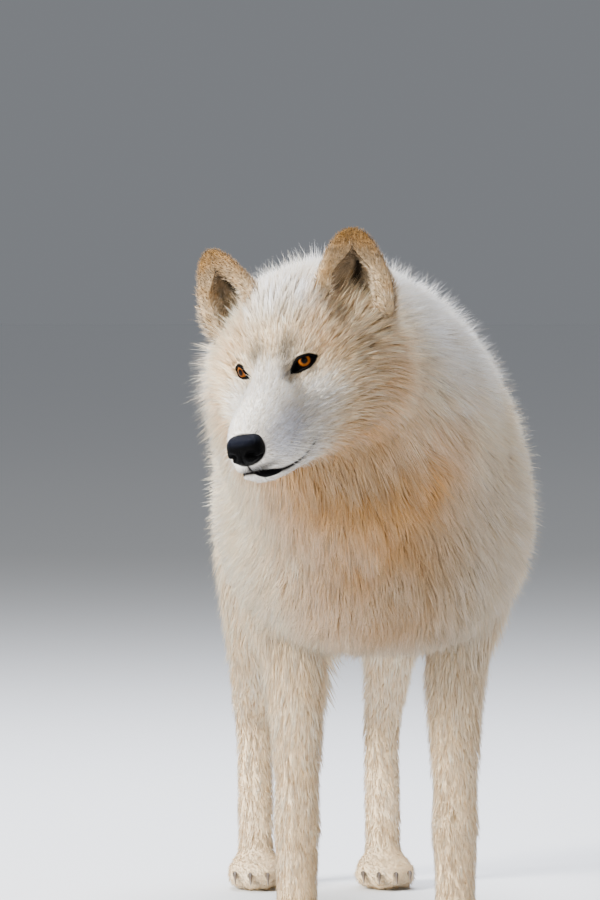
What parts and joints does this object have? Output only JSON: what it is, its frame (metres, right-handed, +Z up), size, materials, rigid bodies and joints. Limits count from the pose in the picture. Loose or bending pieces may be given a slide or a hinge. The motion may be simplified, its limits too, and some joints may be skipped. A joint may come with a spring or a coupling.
{
  "type": "arctic wolf model",
  "caption": "Life-size still model of a standing white arctic wolf in winter coat, head turned to its right, for natural history display.",
  "frame": {"origin": "on the ground under the middle of the outline", "axes": "+Z up, the body faces -Y, the wolf's left side is towards +X"},
  "size_m": [0.4124, 1.4774, 0.8253],
  "materials": {
    "cream_fur": "long soft cream winter coat with golden tips on chest and ruff",
    "pale_fur": "short dense off-white fur of the face and paws",
    "ear_fur": "short tan fur, grey-brown inside the cup",
    "nose_leather": "moist black pebbled nose leather",
    "eye": "wet glossy amber iris with a black pupil",
    "claw": "dark worn horn"
  },
  "bodies": {
    "root": {"claw_fore_left_inner": "claw", "claw_fore_left_mid_inner": "claw", "claw_fore_left_mid_outer": "claw", "claw_fore_left_outer": "claw", "claw_fore_right_inner": "claw", "claw_fore_right_mid_inner": "claw", "claw_fore_right_mid_outer": "claw", "claw_fore_right_outer": "claw", "claw_hind_left_inner": "claw", "claw_hind_left_mid_inner": "claw", "claw_hind_left_mid_outer": "claw", "claw_hind_left_outer": "claw", "claw_hind_right_inner": "claw", "claw_hind_right_mid_inner": "claw", "claw_hind_right_mid_outer": "claw", "claw_hind_right_outer": "claw", "ear_left": "ear_fur", "ear_right": "ear_fur", "eye_left": "eye", "eye_right": "eye", "foreleg_left": "cream_fur", "foreleg_right": "cream_fur", "forepaw_left": "pale_fur", "forepaw_right": "pale_fur", "head": "pale_fur", "hindleg_left": "cream_fur", "hindleg_right": "cream_fur", "hindpaw_left": "pale_fur", "hindpaw_right": "pale_fur", "neck": "cream_fur", "nose": "nose_leather", "tail": "cream_fur", "trunk": "cream_fur"}
  },
  "joints": []
}
